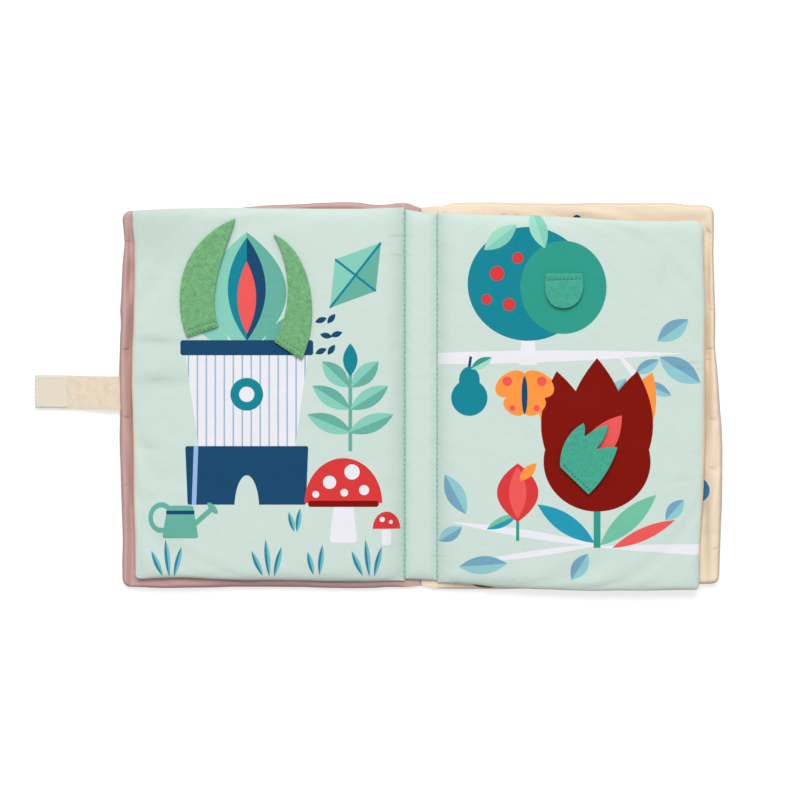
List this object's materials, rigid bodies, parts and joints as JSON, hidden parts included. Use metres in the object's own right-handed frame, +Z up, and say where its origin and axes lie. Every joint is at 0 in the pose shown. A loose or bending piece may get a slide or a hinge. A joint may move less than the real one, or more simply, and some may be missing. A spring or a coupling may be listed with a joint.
{
  "type": "crinkle cloth book",
  "caption": "Soft padded cloth book lying open: two padded covers, padded crinkle pages stitched at the spine, felt flaps to lift, and a hook-and-loop closure tape.",
  "frame": {"origin": "middle of the spine's flat underside, on the surface that the open book lies on", "axes": "+Z up out of the pages, +Y along the spine to the head of the book, +X to the reader's right"},
  "size_m": [0.3998, 0.2261, 0.0133],
  "materials": {
    "mint_print": "smooth printed polyester, faint sheen",
    "mauve_cloth": "smooth polyester",
    "cream_cloth": "smooth polyester",
    "outside_cloth": "smooth polyester with a small printed pattern",
    "felt_leaf_green": "pressed felt",
    "felt_emerald": "pressed felt",
    "cotton_tape": "natural herringbone cotton",
    "hook_tape": "fine woven hooks",
    "loop_pile": "brushed loop pile",
    "crinkle_film": "thin clear film that rustles",
    "wadding": "polyester wadding",
    "sewing_thread": "polyester thread"
  },
  "bodies": {
    "spine": {"spine_outer_cloth": "outside_cloth", "spine_lining_mauve": "mauve_cloth", "spine_lining_cream": "cream_cloth", "page_spine_underside": "cream_cloth", "page_spine_mint": "mint_print", "spine_padding": "wadding", "page_spine_padding": "wadding", "seam_thread_left": "sewing_thread", "seam_thread_right": "sewing_thread"},
    "front_cover": {"front_cover_inside_mauve": "mauve_cloth", "front_cover_outside": "outside_cloth", "front_cover_crinkle_film": "crinkle_film", "front_cover_padding": "wadding", "left_gutter_mint": "mint_print", "left_gutter_underside": "cream_cloth", "closure_tape_sewn_end": "cotton_tape"},
    "back_cover": {"back_cover_inside_cream": "cream_cloth", "back_cover_outside": "outside_cloth", "back_cover_crinkle_film": "crinkle_film", "back_cover_padding": "wadding", "loop_patch": "loop_pile", "right_gutter_mint": "mint_print", "right_gutter_underside": "cream_cloth"},
    "left_page": {"left_page_mint": "mint_print", "left_page_underside": "cream_cloth", "left_page_crinkle_film": "crinkle_film", "left_page_padding": "wadding", "felt_leaf_outer_sewn_end": "felt_leaf_green", "felt_leaf_inner_sewn_end": "felt_leaf_green"},
    "right_page": {"right_page_mint": "mint_print", "right_page_underside": "cream_cloth", "right_page_crinkle_film": "crinkle_film", "right_page_padding": "wadding", "felt_round_flap_sewn_end": "felt_emerald", "felt_sepal_sewn_end": "felt_emerald"},
    "felt_leaf_outer": {"felt_leaf_outer": "felt_leaf_green"},
    "felt_leaf_inner": {"felt_leaf_inner": "felt_leaf_green"},
    "felt_round_flap": {"felt_round_flap": "felt_emerald"},
    "felt_sepal": {"felt_sepal": "felt_emerald"},
    "tape_side": {"closure_tape_side": "cotton_tape"},
    "tape_end": {"closure_tape_end": "cotton_tape", "hook_patch": "hook_tape"}
  },
  "joints": [
    {"name": "front_cover_turn", "type": "hinge", "parent": "spine", "child": "front_cover", "pos_m": [-0.0094, 0, 0.00425], "axis": [0, 1, 0], "range_deg": [0, 90]},
    {"name": "back_cover_turn", "type": "hinge", "parent": "spine", "child": "back_cover", "pos_m": [0.0094, 0, 0.00425], "axis": [0, -1, 0], "range_deg": [0, 90]},
    {"name": "left_page_turn", "type": "hinge", "parent": "front_cover", "child": "left_page", "pos_m": [-0.0094, 0, 0.0135], "axis": [0, -1, 0], "range_deg": [-179.5, 0]},
    {"name": "right_page_turn", "type": "hinge", "parent": "back_cover", "child": "right_page", "pos_m": [0.0094, 0, 0.0135], "axis": [0, 1, 0], "range_deg": [-179.5, 0]},
    {"name": "tape_wrap", "type": "hinge", "parent": "front_cover", "child": "tape_side", "pos_m": [-0.176, 0.002, 0.00365], "axis": [0, 1, 0], "range_deg": [0, 90]},
    {"name": "tape_fasten", "type": "hinge", "parent": "tape_side", "child": "tape_end", "pos_m": [-0.2014, 0.002, 0.00135], "axis": [0, 1, 0], "range_deg": [0, 90]},
    {"name": "felt_leaf_outer_lift", "type": "hinge", "parent": "left_page", "child": "felt_leaf_outer", "pos_m": [-0.1264, 0.0442, 0.01335], "axis": [-1, 0, 0], "range_deg": [-176, 0]},
    {"name": "felt_leaf_inner_lift", "type": "hinge", "parent": "left_page", "child": "felt_leaf_inner", "pos_m": [-0.077, 0.0355, 0.01335], "axis": [-1, 0, 0], "range_deg": [-176, 0]},
    {"name": "felt_round_lift", "type": "hinge", "parent": "right_page", "child": "felt_round_flap", "pos_m": [0.0828, 0.0666, 0.01335], "axis": [1, 0, 0], "range_deg": [-176, 0]},
    {"name": "felt_sepal_lift", "type": "hinge", "parent": "right_page", "child": "felt_sepal", "pos_m": [0.09103, -0.0469, 0.01335], "axis": [-0.7181, 0.6959, 0], "range_deg": [-176, 0]}
  ]
}
